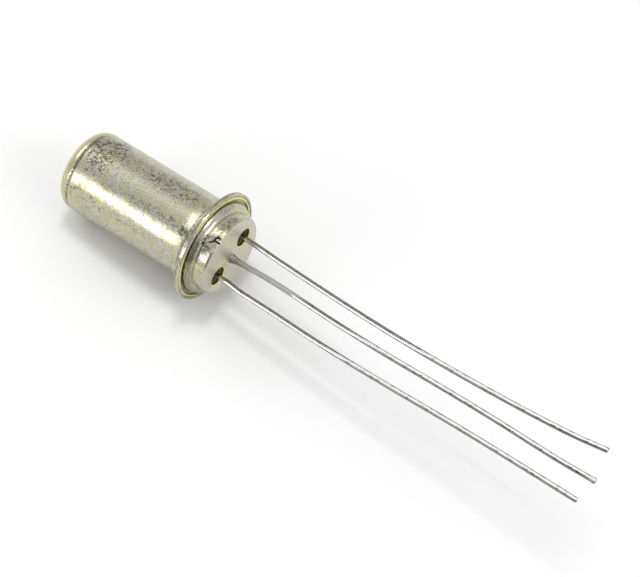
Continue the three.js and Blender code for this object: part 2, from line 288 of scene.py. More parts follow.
def turned(name, outline, foot, steps=CASE_STEPS, share=1.0):
    """A round piece from (along, out) points in millimetres, about the axis through foot."""
    spots = [foot + (axis * along + top * out * share) * MM for along, out in outline]
    bpy.ops.object.select_all(action="DESELECT")
    bpy.ops.mesh.primitive_plane_add(size=MM, location=spots[0])
    bpy.ops.object.mode_set(mode="EDIT")
    bpy.ops.mesh.merge(type="CENTER")
    for here, there in zip(spots, spots[1:]):
        bpy.ops.mesh.extrude_region_move(TRANSFORM_OT_translate={"value": there - here})
    bpy.ops.mesh.select_all(action="SELECT")
    bpy.ops.mesh.spin(steps=steps, angle=math.tau, center=foot, axis=axis)
    bpy.ops.mesh.select_all(action="SELECT")
    bpy.ops.mesh.remove_doubles(threshold=MERGE_DISTANCE * MM)
    bpy.ops.mesh.normals_make_consistent(inside=False)
    return finish_mesh(bpy.context.object, name)


print("flats lie at", round(flat_share, 4), "of the full radius")

# %% [markdown]
# ## The can
# The real can is drawn from one sheet of steel: a punch pulls the sheet into a deep cup, the
# end keeps a generous corner, and the open edge is swept out into a thin flange. The sweep
# starts gently, two millimetres before the flange, and a gentle slope is where metal picks up
# its brightest mirror images. So the outline runs from the middle of the end, round the
# corner, down the wall, out through the flare, and back along the inside.

# %% Model the can
CAN_RADIUS = 4.0
CAN_WALL = 0.28
CAN_CORNER = 1.22
CAN_FLARE_HEIGHT = 0.6
CAN_FLARE_LENGTH = 2.1
CAN_FLANGE = 0.18
FLANGE_EDGE = 0.1
HEADER_FLANGE = 0.3
SEAM = 0.03
WALL_RINGS = 40

seam_back = -HEADER_FLANGE - SEAM
flare_start = seam_back - CAN_FLANGE - CAN_FLARE_LENGTH
flare_out = CAN_RADIUS + CAN_FLARE_HEIGHT
flare_stretch = CAN_FLARE_LENGTH / CAN_FLARE_HEIGHT
inside_height = CAN_FLARE_HEIGHT + CAN_WALL
inside_stretch = (seam_back - flare_start) / inside_height
edge_start = seam_back - CAN_FLANGE + FLANGE_EDGE
edge_out = FLANGE_RADIUS - FLANGE_EDGE
corner_end = CAN_CORNER - CASE_LENGTH
corner_out = CAN_RADIUS - CAN_CORNER
wall_step = (flare_start - corner_end) / WALL_RINGS
can_outline = [
    (-CASE_LENGTH, 0),
    *arc(corner_end, corner_out, CAN_CORNER, 180, 90, steps=16),
    *[(corner_end + wall_step * ring, CAN_RADIUS) for ring in range(1, WALL_RINGS)],
    *arc(flare_start, flare_out, CAN_FLARE_HEIGHT, -90, 0, steps=20, stretch=flare_stretch),
    *arc(edge_start, edge_out, FLANGE_EDGE, 180, 90, steps=5),
    (seam_back, FLANGE_RADIUS),
    *arc(flare_start, flare_out, inside_height, 0, -90, steps=12, stretch=inside_stretch),
    *arc(corner_end, corner_out, CAN_CORNER - CAN_WALL, 90, 180, steps=10),
    (CAN_WALL - CASE_LENGTH, 0),
]
can = turned("can", can_outline, flange_front, share=flat_share)

# %% [markdown]
# ## The header
# The base is pressed from thicker sheet. From the rim inwards it has a raised band with a
# shallow dish all round it, a narrow groove where the weld to the can was made, a rounded
# shoulder, and a boss with a flat face. The dish is only seven hundredths of a millimetre deep,
# but it gives the rim its two bright lines with a dark one between. Two holes are punched in
# the face for the glass seals, with their front edges rounded over. Here they are cut with
# two turned cutters, because a boolean keeps the rest clean.

# %% Model the header
RIM_WIDTH = 0.5
RIM_STEP = 0.04
RIM_CREST = 0.06
RIM_DISH = 0.07
RIM_DISH_OUT = (5.33, 5.09)
RIM_DISH_STEPS = 8
GROOVE_DEPTH = 0.18
GROOVE_FLOOR = 0.24
SHOULDER_RADIUS = 4.12
SHOULDER_HEIGHT = 0.62
BOSS_RADIUS = 3.95
BOSS_EDGE = 0.32
BOSS_ROOT = 0.06
BOSS_WALL = 0.5
FACE_THICKNESS = 0.55
INNER_CORNER = 0.25

rim_inner = FLANGE_RADIUS - RIM_WIDTH
groove_outer = rim_inner - RIM_STEP
groove_inner = groove_outer - GROOVE_FLOOR
shoulder_reach = groove_inner - SHOULDER_RADIUS
shoulder_stretch = (SHOULDER_HEIGHT + GROOVE_DEPTH) / shoulder_reach
inner_face = boss_height - FACE_THICKNESS
cavity = BOSS_RADIUS - BOSS_WALL
dish_start, dish_end = RIM_DISH_OUT
dish_shares = [step / RIM_DISH_STEPS for step in range(RIM_DISH_STEPS + 1)]
header_outline = [
    (inner_face, 0),
    *arc(inner_face - INNER_CORNER, cavity - INNER_CORNER, INNER_CORNER, 0, 90),
    *arc(INNER_CORNER - HEADER_FLANGE, cavity + INNER_CORNER, INNER_CORNER, 270, 180),
    (-HEADER_FLANGE, FLANGE_RADIUS),
    *arc(-FLANGE_EDGE, edge_out, FLANGE_EDGE, 90, 0, steps=5),
    *[(-RIM_DISH * math.sin(math.pi * share) ** 2, dish_start + share * (dish_end - dish_start))
      for share in dish_shares],
    *arc(-RIM_CREST, rim_inner + RIM_CREST, RIM_CREST, 0, -90, steps=5),
    (-GROOVE_DEPTH, groove_outer),
    *arc(-GROOVE_DEPTH, SHOULDER_RADIUS, shoulder_reach, 90, 0, 16, shoulder_stretch),
    *arc(SHOULDER_HEIGHT + BOSS_ROOT, BOSS_RADIUS + BOSS_ROOT, BOSS_ROOT, 180, 270, steps=4),
    *arc(boss_height - BOSS_EDGE, BOSS_RADIUS - BOSS_EDGE, BOSS_EDGE, 90, 0, steps=12),
    (boss_height, 0),
]
header = turned("header_shell", header_outline, flange_front, share=flat_share)

# %% Punch the two holes
LEAD_SPACING = 2.1
FOOT_TURNS = {"emitter": 68, "collector": 248}
HOLE_RADIUS = 0.93
HOLE_LIP = 0.13
HOLE_STEPS = 96
CUTTER_REACH = 1

feet = {name: on_case(0, LEAD_SPACING, turn) for name, turn in FOOT_TURNS.items()}
cutter_outline = [
    (inner_face - CUTTER_REACH, 0),
    (inner_face - CUTTER_REACH, HOLE_RADIUS),
    *arc(boss_height - HOLE_LIP, HOLE_RADIUS + HOLE_LIP, HOLE_LIP, 270, 360),
    (boss_height + CUTTER_REACH, HOLE_RADIUS + HOLE_LIP),
    (boss_height + CUTTER_REACH, 0),
]
for foot in feet.values():
    cutter = turned("cutter", cutter_outline, foot, steps=HOLE_STEPS)
    hole = header.modifiers.new("hole", "BOOLEAN")
    hole.object = cutter
    hole.solver = "EXACT"
    bpy.context.view_layer.objects.active = header
    bpy.ops.object.modifier_apply(modifier=hole.name)
    bpy.data.objects.remove(cutter)
print("header with two holes has", len(header.data.polygons), "faces")

# %% [markdown]
# ## Glass seals
# Each outer lead passes through a bead of dark glass that was melted in place. Molten glass
# climbs whatever it wets, so its surface sinks between the wall of the hole and the lead.

# %% Model the seals
LEAD_RADIUS = 0.25
BEAD_RECESS = 0.3
BEAD_SINK = 0.12
BEAD_BACK = 0.3
BEAD_POINTS = 13
BEAD_GAP = 0.004

bead_outer = HOLE_RADIUS - BEAD_GAP
bead_middle = (bead_outer + LEAD_RADIUS) / 2
bead_reach = (bead_outer - LEAD_RADIUS) / 2
bead_front = boss_height - BEAD_RECESS
bead_back = inner_face - BEAD_BACK
across = [2 * point / (BEAD_POINTS - 1) - 1 for point in range(BEAD_POINTS)]
bead_outline = [
    *[(bead_front - BEAD_SINK * (1 - t * t), bead_middle + t * bead_reach) for t in across],
    *[(bead_back + BEAD_SINK * (1 - t * t), bead_middle - t * bead_reach) for t in across],
]
bead_outline.append(bead_outline[0])
seals = {name: turned("seal_" + name, bead_outline, foot, steps=HOLE_STEPS)
         for name, foot in feet.items()}

# %% [markdown]
# ## Leads
# The leads are drawn wire, cut off a coil, and handling has bent them a little. Their path is
# already in the frame: the rings of each many-sided wire are found, the middle of each ring
# is taken, and a fine round disc is extruded from one middle to the next.
# The middle lead is welded straight onto the header. The metal that melted there leaves a
# lumpy foot, a little to one side, so that wire starts wide and off its own line, and narrows
# over two millimetres.
# Side cutters leave no two ends alike: one is pinched, one has a drop of solder on it, and one
# is bitten off aslant. Each end is a few closer rings with sizes of their own.

# %% Find the leads' paths
RING_GAP = 0.3 * MM


def centre_line(node):
    """The middle of each ring of a wire in the frame, from the case outwards."""
    spots = {tuple(round(value, 7) for value in vertex.co) for vertex in node.data.vertices}
    spots = sorted((Vector(spot) for spot in spots), key=axis.dot)
    rings = [[spots[0]]]
    for before, spot in zip(spots, spots[1:]):
        if (spot - before).dot(axis) > RING_GAP:
            rings.append([])
        rings[-1].append(spot)
    return [sum(ring, Vector()) / len(ring) for ring in rings]


paths = {name: centre_line(nodes["lead_" + name]) for name in ("emitter", "base", "collector")}
print("rings in each lead:", {name: len(path) for name, path in paths.items()})

# %% Wire helper
WIRE_SIDES = 32
WIRE_SMOOTH_ANGLE = 50


def wire(name, path, sizes):
    """A wire along places, with each ring's width and height beside the wire's own."""
    bpy.ops.object.select_all(action="DESELECT")
    bpy.ops.mesh.primitive_circle_add(
        vertices=WIRE_SIDES, radius=LEAD_RADIUS * sizes[0][0] * MM, fill_type="NGON",
        location=path[0], rotation=axis.to_track_quat("Z", "Y").to_euler())
    bpy.ops.object.mode_set(mode="EDIT")
    for here, there, size, next_size in zip(path, path[1:], sizes, sizes[1:]):
        bpy.ops.mesh.extrude_region_move(TRANSFORM_OT_translate={"value": there - here})
        if next_size != size:
            wide, high = next_size[0] / size[0], next_size[1] / size[1]
            bpy.ops.transform.resize(value=(high, wide, high), center_override=there)
    bpy.ops.mesh.select_all(action="SELECT")
    bpy.ops.mesh.normals_make_consistent(inside=False)
    return finish_mesh(bpy.context.object, name, WIRE_SMOOTH_ANGLE)


def note_straight_places(piece, path):
    """Notes on each vertex where it would be if the wire were straight, in millimetres."""
    run = [0]
    for here, there in zip(path, path[1:]):
        run.append(run[-1] + (there - here).length / MM)
    straight = piece.data.attributes.new("straight_wire", "FLOAT_VECTOR", "POINT")
    for vertex, place in zip(piece.data.vertices, straight.data):
        ring = min(range(len(path)), key=lambda number: abs((vertex.co - path[number]).dot(axis)))
        away = (vertex.co - path[ring]) / MM
        place.vector = (run[ring], away.dot(side), away.dot(top))


# %% Model the leads
WELD_SIDE = 165
WELD_FOOT = [
    # height above the face, shift to the weld's side, width and height beside the wire's own
    (0, 0.33, 1.9, 1.9), (0.08, 0.33, 1.86, 1.78), (0.2, 0.31, 1.68, 1.74),
    (0.34, 0.27, 1.6, 1.5), (0.52, 0.21, 1.36, 1.42), (0.75, 0.15, 1.26, 1.2),
    (1.05, 0.1, 1.12, 1.14), (1.5, 0.06, 1.06, 1.03), (2.2, 0.03, 1, 1),
]
WELD_CLEAR = 0.2
END_TRIM = 0.012
CUT_ENDS = {
    # way back from the tip, and the ring's width and height
    "emitter": [(0.3, 1, 1), (0.08, 1.03, 0.86), (0, 0.95, 0.55)],
    "base": [(0.36, 1, 1), (0.2, 1.2, 1.12), (0.08, 1.12, 1.2), (0, 0.55, 0.6)],
    "collector": [(0.26, 1, 1), (0.07, 0.93, 1), (0, 0.5, 0.88)],
}

leads = {}
for name, path in paths.items():
    middle, tip = path[:-1], path[-1]
    run_in = (tip - middle[-1]).normalized() * MM
    places = middle + [tip - run_in * (back + END_TRIM) for back, *_ in CUT_ENDS[name]]
    sizes = [(1, 1)] * len(middle) + [(wide, high) for _, wide, high in CUT_ENDS[name]]
    if name == "base":
        weld_end = boss_height + WELD_FOOT[-1][0] + WELD_CLEAR
        while (places[0] - flange_front).dot(axis) / MM <= weld_end:
            places, sizes = places[1:], sizes[1:]
        places = [on_case(boss_height + rise, shift, WELD_SIDE)
                  for rise, shift, *_ in WELD_FOOT] + places
        sizes = [(wide, high) for *_, wide, high in WELD_FOOT] + sizes
    leads[name] = wire("wire_" + name, places, sizes)
    note_straight_places(leads[name], places)

# %% [markdown]
# ## Finishes
# Every finish is made of nodes, with no pictures. Decades in a drawer have left the plating
# uneven: pale where fingers kept it clean, olive and brown in patches, and peppered with dark
# specks. Some light stripes and lines and some dark rings are painted highlights and painted
# shade. The same few effects come back on every piece, so each is built once as a node group
# with named sockets, and a material gives it values of its own.

# %% Helpers for masks, colours and noise
def times(first, second):
    """Two values or masks multiplied."""
    return reckon("MULTIPLY", first, second)


def times_plus(first, second, third):
    """The first value times the second, plus the third."""
    return reckon("MULTIPLY_ADD", first, second, third)


def strongest(first, *others):
    """The largest of several masks."""
    for other in others:
        first = reckon("MAXIMUM", first, other)
    return first


def blend(share, first, second):
    """A colour between two. Share 0 gives the first one, and 1 the second."""
    return put("Mix", {0: share, 6: first, 7: second}, data_type="RGBA").outputs[2]


def noise(spot, size, detail=3.0, roughness=0.55):
    """Smooth noise with lumps of about this size, in the spot's own unit."""
    inputs = {"Vector": spot, "Scale": 1 / size, "Detail": detail, "Roughness": roughness}
    return put("TexNoise", inputs).outputs[0]


# %% Node group helpers
SOCKET_KINDS = {
    "value": "NodeSocketFloat", "place": "NodeSocketVector", "color": "NodeSocketColor"}


def tell(owner):
    """Prints how many nodes a node group or a material has."""
    print(owner.name, "has", len(getattr(owner, "node_tree", owner).nodes), "nodes")


def new_group(name, inputs, outputs):
    """An empty shader node group with named sockets, and the sockets to build between."""
    group = bpy.data.node_groups.new(name, "ShaderNodeTree")
    for in_out, sockets in (("INPUT", inputs), ("OUTPUT", outputs)):
        for kind, names in sockets.items():
            for socket in names:
                group.interface.new_socket(socket, in_out=in_out, socket_type=SOCKET_KINDS[kind])
    given = group.nodes.new("NodeGroupInput").outputs
    result = group.nodes.new("NodeGroupOutput").inputs
    return group, given, result


def use(group, inputs):
    """Places a node group in a material and returns its outputs."""
    return put("Group", inputs, node_tree=group).outputs


# %% [markdown]
# ### Where on the case
# Object coordinates are metres in the frame, and the case lies tilted in them. This group
# turns them into the same numbers that the modelling used: millimetres along the axis,
# millimetres out from it, and degrees round it from the top. A Mapping node of the Texture
# type undoes a move, a turn and a scale, so it is given the case's own.

# %% Group: case place
case_place, given, result = new_group(
    "case_place", {"place": ["Position"]}, {"place": ["Spot"], "value": ["Along", "Out", "Turn"]})
case_turn = Matrix((axis, side, top)).transposed().to_euler()
spot = put("Mapping", {
    "Vector": given["Position"], "Location": flange_front, "Rotation": case_turn,
    "Scale": (MM, MM, MM)}, vector_type="TEXTURE").outputs["Vector"]
along, across, up = put("SeparateXYZ", {"Vector": spot}).outputs
squares = times_plus(across, across, times(up, up))
feed(result["Spot"], spot)
feed(result["Along"], along)
feed(result["Out"], reckon("SQRT", squares))
feed(result["Turn"], reckon("DEGREES", reckon("ARCTAN2", across, up)))
tell(case_place)

# %% [markdown]
# ### Patches
# Tarnish sits in patches: where a thumb rested, where flux splashed, in every corner that a
# cloth can't reach. A patch is an ellipse in a length and a turn, with a ragged edge from
# noise. Turns wrap round at 180 degrees.

# %% Group: patch
PATCH_EDGE = (0.55, 1.15)


def degrees_between(first, second):
    """One turn less another, wrapped into -180 to 180 degrees."""
    return reckon("WRAP", reckon("SUBTRACT", first, second), 180.0, -180.0)


patch_group, given, result = new_group("patch", {"value": [
    "Across", "Across middle", "Across half", "Round", "Round middle", "Round half",
    "Noise", "Ragged"]}, {"value": ["Mask"]})
across = reckon("SUBTRACT", given["Across"], given["Across middle"])
across = reckon("DIVIDE", across, given["Across half"])
around = degrees_between(given["Round"], given["Round middle"])
around = reckon("DIVIDE", around, given["Round half"])
reach = times_plus(across, across, times(around, around))
shake = times(reckon("SUBTRACT", given["Noise"], 0.5), given["Ragged"])
reach = reckon("ADD", reckon("SQRT", reach), shake)
feed(result["Mask"], ramp(reach, *PATCH_EDGE, 1.0, 0.0))
tell(patch_group)

# %% [markdown]
# ### Lines
# Scratches, cracks and the lip of a hole all follow a straight line in space, so one group
# serves for them: it masks what lies within a width of the line between two places.

# %% Group: near a line
LINE_EDGE = (0.5, 1.0)


def scaled(vector, factor):
    """A vector times a number."""
    return put("VectorMath", {0: vector, "Scale": factor}, operation="SCALE").outputs[0]


near_line, given, result = new_group(
    "near_line", {"place": ["Spot", "Start", "End"], "value": ["Width"]}, {"value": ["Mask"]})
reach = vectors("SUBTRACT", given["Spot"], given["Start"])
line = vectors("SUBTRACT", given["End"], given["Start"])
share = reckon("DIVIDE", vectors("DOT_PRODUCT", reach, line, output=1),
               vectors("DOT_PRODUCT", line, line, output=1))
share = put("Clamp", {"Value": share}).outputs[0]
away = vectors("DISTANCE", reach, scaled(line, share), output=1)
part = reckon("DIVIDE", away, given["Width"])
feed(result["Mask"], ramp(part, *LINE_EDGE, 1.0, 0.0))
tell(near_line)

# %% [markdown]
# ### Old plating
# Four layers, from the bottom up: the clean metal, a pale stain that drifts over it like a
# cloud, darker blotches of tarnish, and dark specks that crowd in them, with a fine grit of
# freckles over it all. On the can and the header the darker blotches also carry painted shade.
# The layers roughen the metal as well, so it shines least where it is darkest.

# %% Group: old plating
# size of the lumps, detail and roughness of each noise
CLOUD, BLOTCH, PEPPER, GRIT = (0.9, 2.5), (0.36, 4, 0.65), (0.18, 3, 0.72), (0.14, 1.5, 0.6)
CLOUD_EDGE, BLOTCH_EDGE = (0.42, 0.6), (0.42, 0.58)
SPECK_EDGE, FRECKLE_EDGE = (0.59, 0.71), (0.46, 0.68)
BETWEEN_BLOTCHES = 0.15
CROWD_IN_DARKENING, CROWD_IN_BLOTCH, BLOTCH_MIDDLE = 0.2, 0.24, 0.6
GRIT_ON_SPECKS = (0.37, 0.56, 0.5, 1.1)
DARKENING_DULLS, STAIN_DULLS, SPECKS_DULL = 0.08, 0.02, 0.08

old_plating, given, result = new_group("old_plating", {
    "place": ["Spot"], "color": ["Clean", "Stain", "Dark tone", "Speck"],
    "value": ["Size", "Stained", "Darkened", "Specked", "Freckled", "Polish"],
}, {"color": ["Color"], "value": ["Roughness", "Speck mask"]})
spot = scaled(given["Spot"], reckon("DIVIDE", 1.0, given["Size"]))
cloud = ramp(noise(spot, *CLOUD), *CLOUD_EDGE)
blotch = ramp(noise(spot, *BLOTCH), *BLOTCH_EDGE)
pepper = noise(spot, *PEPPER)
grit = noise(spot, *GRIT)
stained = times(cloud, given["Stained"])
darkened = times_plus(blotch, 1 - BETWEEN_BLOTCHES, BETWEEN_BLOTCHES)
darkened = times(darkened, given["Darkened"])
crowding = times_plus(given["Darkened"], CROWD_IN_DARKENING, pepper)
in_blotch = reckon("SUBTRACT", blotch, BLOTCH_MIDDLE)
crowding = times_plus(in_blotch, CROWD_IN_BLOTCH, crowding)
specks = times(ramp(crowding, *SPECK_EDGE), given["Specked"])
specks = times(specks, ramp(grit, *GRIT_ON_SPECKS))
freckles = times(ramp(grit, *FRECKLE_EDGE), given["Freckled"])
specks = strongest(specks, freckles)
color = blend(stained, given["Clean"], given["Stain"])
color = blend(darkened, color, given["Dark tone"])
dullness = times_plus(darkened, DARKENING_DULLS, given["Polish"])
dullness = times_plus(stained, STAIN_DULLS, dullness)
dullness = times_plus(specks, SPECKS_DULL, dullness)
feed(result["Color"], blend(specks, color, given["Speck"]))
feed(result["Roughness"], dullness)
feed(result["Speck mask"], specks)
tell(old_plating)

# %% [markdown]
# ### Dents and grain
# Pressed and barrel-plated metal isn't flat under a lens. Shallow dents bend the highlights,
# and a fine grain breaks their edges into glints. The group gives a height in millimetres.

# %% Group: pressed surface
DENTS, RIPPLE, GRAIN = (1.5, 1), (0.45, 2), (0.11, 2, 0.6)

pressed_surface, given, result = new_group(
    "pressed_surface", {"place": ["Spot"], "value": ["Dents", "Ripple", "Grain"]},
    {"value": ["Height"]})
height = times(noise(given["Spot"], *DENTS), given["Dents"])
height = times_plus(noise(given["Spot"], *RIPPLE), given["Ripple"], height)
height = times_plus(noise(given["Spot"], *GRAIN), given["Grain"], height)
feed(result["Height"], height)
tell(pressed_surface)

# %% [markdown]
# ### Materials from the groups
# A finish starts as one metal shader with its places on the case worked out. Patches and
# strokes then say where an effect lies, in the same millimetres and degrees as the modelling.
# Heights are in millimetres too, and Blender's bump node turns them into slopes.

# %% Material helpers
def new_finish(name):
    """A material, and its places on the case."""
    material = bpy.data.materials.new(name)
    material.use_nodes = True
    position = put("TexCoord", {}, material.node_tree).outputs["Object"]
    return material, use(case_place, {"Position": position})


def shade(material, color, roughness, height, metallic=1.0, ior=1.5):
    """Feeds a material's shader. The height is in millimetres."""
    normal = put("Bump", {"Height": height, "Distance": MM}).outputs["Normal"]
    shader = material.node_tree.nodes["Principled BSDF"].inputs
    for socket, value in {"Base Color": color, "Roughness": roughness, "Metallic": metallic,
                          "IOR": ior, "Normal": normal}.items():
        feed(shader[socket], value)


def patches(place, across, shaker, spots, ragged):
    """The strongest of several patches: middle and half size both ways, and a strength."""
    masks = [times(use(patch_group, {
        "Across": place[across], "Across middle": middle, "Across half": half,
        "Round": place["Turn"], "Round middle": turn, "Round half": half_turn,
        "Noise": shaker, "Ragged": ragged})["Mask"], strength)
        for middle, half, turn, half_turn, strength in spots]
    return strongest(*masks)


def unevenness(place, dents, ripple, grain):
    """The height of a pressed surface, in millimetres, with so much of each size."""
    return use(pressed_surface, {
        "Spot": place["Spot"], "Dents": dents, "Ripple": ripple, "Grain": grain})["Height"]


def case_spot(along, out, turn):
    """A place in the case's own millimetres, as case_place gives it."""
    return Vector((along, out * math.sin(math.radians(turn)), out * math.cos(math.radians(turn))))


def stroke(place, start, end, width):
    """Masks what lies within a width of the line between two places."""
    return use(near_line, {
        "Spot": place["Spot"], "Start": start, "End": end, "Width": width})["Mask"]


# %% [markdown]
# ### The can's plating
# The drawn can has two wide mottled zones, one near the closed end and one along the upper
# side, a ring of painted shade in the crease before the flange, one crease across the far
# corner, and a few short scuffs. The crease, the ring and the scuffs share a dark brown. The
# plating has yellowed round the corner and in some patches. The flank towards the window is
# nearly clean, and the underside and the back get patches of the same kind. Dents and grain
# are stronger in the tarnish, where the plating has pitted, and in the painted shade.

# %% Finish the can
CLEAN = (0.575, 0.552, 0.482)
STAIN = (0.52, 0.505, 0.29)
TARNISH_AND_SHADE = (0.47, 0.447, 0.32)
SPECK = (0.11, 0.105, 0.085)
SCUFF_AND_SHADE_BROWN = (0.13, 0.11, 0.085)
YELLOWED = (0.62, 0.58, 0.24)
ALL_ROUND = 900
# middle and half length along the axis, middle and half width in turn, and strength
CAN_PATCHES = (
    (-12.6, 2.2, 8, 38, 0.8), (-4.9, 3.7, 14, 21, 0.46), (-5.4, 4.6, -29, 8, 0.3),
    (-1.8, 0.8, -31, 9, 1.0), (-9.4, 2.4, 14, 15, 0.3), (-9.5, 5.5, -66, 8, 0.25),
    (-3.4, 1.4, 62, 14, 0.3), (-10.5, 4.0, 150, 42, 0.6), (-3.4, 2.6, -165, 34, 0.7),
    (-12.9, 0.7, -53, 6, 0.6), (-13.7, 0.5, -60, 5, 0.6), (-11.6, 0.5, -56, 4, 0.4),
    (-12.6, 2.0, 96, 22, 0.55), (-13.4, 1.6, -140, 26, 0.5), (-6.0, 1.8, 104, 16, 0.4),
)
YELLOWED_PATCHES = (
    (-14.95, 0.5, 0, ALL_ROUND, 0.8), (-15.6, 0.3, 70, 40, 0.5), (-12.4, 1.7, -47, 13, 0.75),
    (-10.6, 0.8, -55, 9, 0.7), (-11.4, 0.8, 3, 7, 0.5), (-1.9, 1.0, -5, 12, 0.6),
    (-2.2, 0.8, -48, 9, 0.7), (-8.0, 3.0, -74, 10, 0.45), (-13.6, 1.2, -80, 22, 0.5),
)
CREASE = ((-14.3, 0.21, -16, 52, 1), (-14.3, 0.17, -72, 34, 0.5))
CREASE_DEPTH, SPECK_DEPTH = 0.02, 0.003
# start and end of each scuff: along the axis, out from it, and turn
SCUFFS = (
    ((-12.6, 4, -7), (-11.95, 4, -11)), ((-12.8, 4, 1.5), (-12.2, 4, -2)),
    ((-13.4, 4, 8), (-13.1, 4, 3)), ((-2.3, 4.05, -31), (-1.3, 4.3, -33)),
    ((-1.9, 4.1, -28), (-1.1, 4.5, -30)), ((-3.6, 4, -23), (-3.1, 4, -26)),
)
SCUFF_WIDTHS = (0.35, 0.65, 0.03, 0.12)
CAN_SHAKER = (0.9, 4, 0.65)
CLEAR_END = (-14.7, -14.3)
# painted shade: where the darker ring in the flange crease lies, along the axis and out from it
FLANGE_SHADE_ALONG, FLANGE_SHADE_OUT = (-1.2, -0.9, 0, 0.6), (4.7, 5.1, 1, 0.35)
FLANGE_SHADE_SHAKE = 0.5
CAN_SPECKED, CAN_FRECKLED = (0, 0.7, 0.5, 1.1), (0, 0.7, 0.5, 0.6)
YELLOW_SHARE, BROWN_SHARE = 0.5, 0.65
CAN_DENTS, CAN_RIPPLE, CAN_GRAIN, CLEAN_PITTED = 0.03, 0.03, 0.01, 0.5

can_plating, place = new_finish("can_plating")
shaker = noise(place["Spot"], *CAN_SHAKER)
tarnish_and_shade = patches(place, "Along", shaker, CAN_PATCHES, ragged=1.6)
yellow_areas = patches(place, "Along", shaker, YELLOWED_PATCHES, ragged=2.0)
crease = patches(place, "Along", shaker, CREASE, ragged=1.6)
# painted shade: a darker ring all round the crease where the can flares into its flange
along = times_plus(shaker, FLANGE_SHADE_SHAKE, place["Along"])
flange_shade = times(ramp(along, *FLANGE_SHADE_ALONG), ramp(place["Out"], *FLANGE_SHADE_OUT))
tarnish_and_shade = times(tarnish_and_shade, ramp(place["Along"], *CLEAR_END))
tarnish_and_shade = strongest(tarnish_and_shade, crease, flange_shade)
plating = use(old_plating, {
    "Spot": place["Spot"], "Clean": CLEAN, "Stain": STAIN, "Dark tone": TARNISH_AND_SHADE, "Speck": SPECK,
    "Size": 1.0, "Stained": 0.7, "Darkened": tarnish_and_shade, "Polish": 0.24,
    "Specked": ramp(tarnish_and_shade, *CAN_SPECKED), "Freckled": ramp(tarnish_and_shade, *CAN_FRECKLED)})
scuff_width = ramp(shaker, *SCUFF_WIDTHS)
scuffs = [stroke(place, case_spot(*start), case_spot(*end), scuff_width)
          for start, end in SCUFFS]
# the corner crease and the scuffs are brown marks, and the flange ring adds painted shade in the
# same brown
scuffed_and_shaded = strongest(crease, flange_shade, *scuffs)
color = blend(times(yellow_areas, YELLOW_SHARE), plating["Color"], YELLOWED)
color = blend(times(scuffed_and_shaded, BROWN_SHARE), color, SCUFF_AND_SHADE_BROWN)
pitted = ramp(tarnish_and_shade, 0, 1, CLEAN_PITTED, 1.0)
ripple, grain = times(pitted, CAN_RIPPLE), times(pitted, CAN_GRAIN)
height = unevenness(place, CAN_DENTS, ripple, grain)
height = times_plus(crease, -CREASE_DEPTH, height)
height = times_plus(plating["Speck mask"], -SPECK_DEPTH, height)
shade(can_plating, color, plating["Roughness"], height)
tell(can_plating)

# %% [markdown]
# ### The header's plating
# The header was plated with its leads in place and then welded, and the heat of the weld left
# an olive-brown bloom in the groove and on the slope of the shoulder, drawn out into streaks
# round the axis. The same dark colour is painted shade as well: all round the groove, along
# the shallow dish of the rim, and strongest on the shoulder's slope round a turn of -90 degrees.
# A pale stretch beside the crack is a painted highlight. The flat face stayed pale and dull
# under faint yellow clouds. A crooked crack crosses the wall of the boss in a shallow dent.
# Thin yellow lines on the inner edge of the rim, on the crest of the shoulder and on the left
# lips of the two holes are painted highlights, and the wall is yellowed in places. Out and
# turn are the coordinates here, as on a dial.

# %% Finish the header
FACE = (0.64, 0.605, 0.56)
FACE_YELLOWED = (0.66, 0.65, 0.43)
# the weld's olive-brown, which is also the colour of painted shade on the header
BLOOM_AND_SHADE = (0.24, 0.22, 0.15)
# on the dial: middle and half width outwards, middle and half width in turn, and strength
BLOOM_AND_SHADE_PATCHES = ((4.56, 0.5, -88, 54, 1), (4.83, 0.15, 0, ALL_ROUND, 0.9), (4.4, 0.3, 18, 10, 0.2))
PALE_HIGHLIGHT_PATCHES = ((4.4, 0.5, -8, 24, 1), (4.0, 0.4, -12, 12, 0.8))
# painted shade along the rim's dish
DISH_SHADE_PATCH = (5.21, 0.07, 0, ALL_ROUND, 0.8)
# on the wall: the same with lengths along the axis
WALL_PATCHES = ((0.95, 0.55, -33, 7, 0.9), (1.3, 0.4, -62, 9, 0.4), (1.3, 0.5, 10, 20, 0.6),
                (1.2, 0.6, 150, 40, 0.5), (0.9, 0.4, -130, 25, 0.5))
FACE_EDGE = (boss_height - 0.1, boss_height - 0.02)
BLOOM_AND_SHADE_END, WALL_END = (0.5, 0.66, 1, 0), (4.0, 4.15, 1, 0)
BACK_TARNISH = (-0.24, -0.1, 0.45, 0)
HEADER_SHAKER = (0.5, 4, 0.65)
STREAKS, STREAK_EDGE, TURN_SQUEEZE = (0.11, 2, 0.6), (0.38, 0.62), 0.012
IN_STREAKS, BETWEEN_STREAKS, BLOOM_AND_SHADE_SPECKS = 0.5, 0.48, 0.4
# how strong each effect is beside the flat face, and on it
FACE_EFFECTS = {
    "Stained": (0.6, 0.8), "Specked": (0.6, 0.15), "Freckled": (0.3, 0.06), "Polish": (0.19, 0.46)}

header_plating, place = new_finish("header_plating")
shaker = noise(place["Spot"], *HEADER_SHAKER)
on_face = ramp(place["Along"], *FACE_EDGE)
